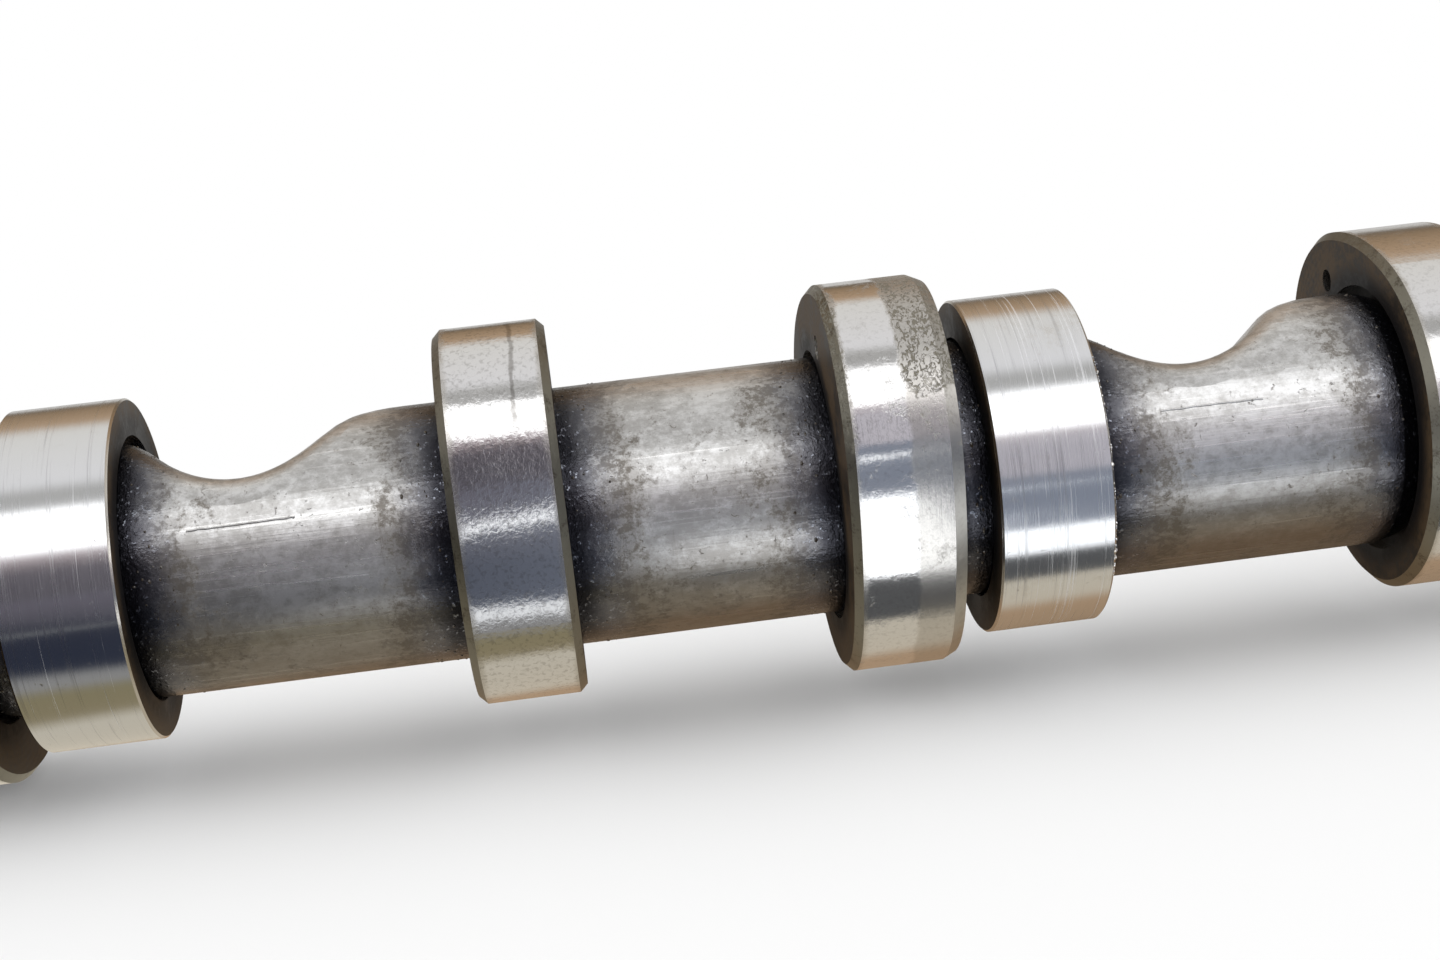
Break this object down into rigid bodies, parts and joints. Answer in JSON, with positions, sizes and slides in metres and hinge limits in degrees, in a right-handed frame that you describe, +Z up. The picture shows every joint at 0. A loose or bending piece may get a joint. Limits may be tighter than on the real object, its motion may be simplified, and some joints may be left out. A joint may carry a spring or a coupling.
{
  "type": "camshaft",
  "caption": "Assembled camshaft: hollow formed tube with pressed-on cam lobes and journal rings, oily worn steel.",
  "frame": {"origin": "on the shaft's axis at the front face of the thrust collar", "axes": "+X along the shaft from the drive end to the rear, +Z up as it lies at rest on its lobes"},
  "size_m": [0.433, 0.0418, 0.0418],
  "materials": {
    "ground_steel": "ground",
    "lobe_steel": "worn satin",
    "tube_steel": "mottled, stained and oily",
    "turned_steel": "turned"
  },
  "bodies": {
    "root": {"drive_end": "turned_steel", "locating_dowel": "turned_steel", "shaft_tube": "tube_steel", "front_journal": "ground_steel", "lobe_1_front": "lobe_steel", "lobe_1_rear": "lobe_steel", "journal_1": "ground_steel", "lobe_2_front": "lobe_steel", "lobe_2_rear": "lobe_steel", "journal_2": "ground_steel", "lobe_3_front": "lobe_steel", "lobe_3_rear": "lobe_steel", "journal_3": "ground_steel", "lobe_4_front": "lobe_steel", "lobe_4_rear": "lobe_steel", "journal_4": "ground_steel", "sensor_wheel": "turned_steel", "rear_cap": "turned_steel"}
  },
  "joints": []
}
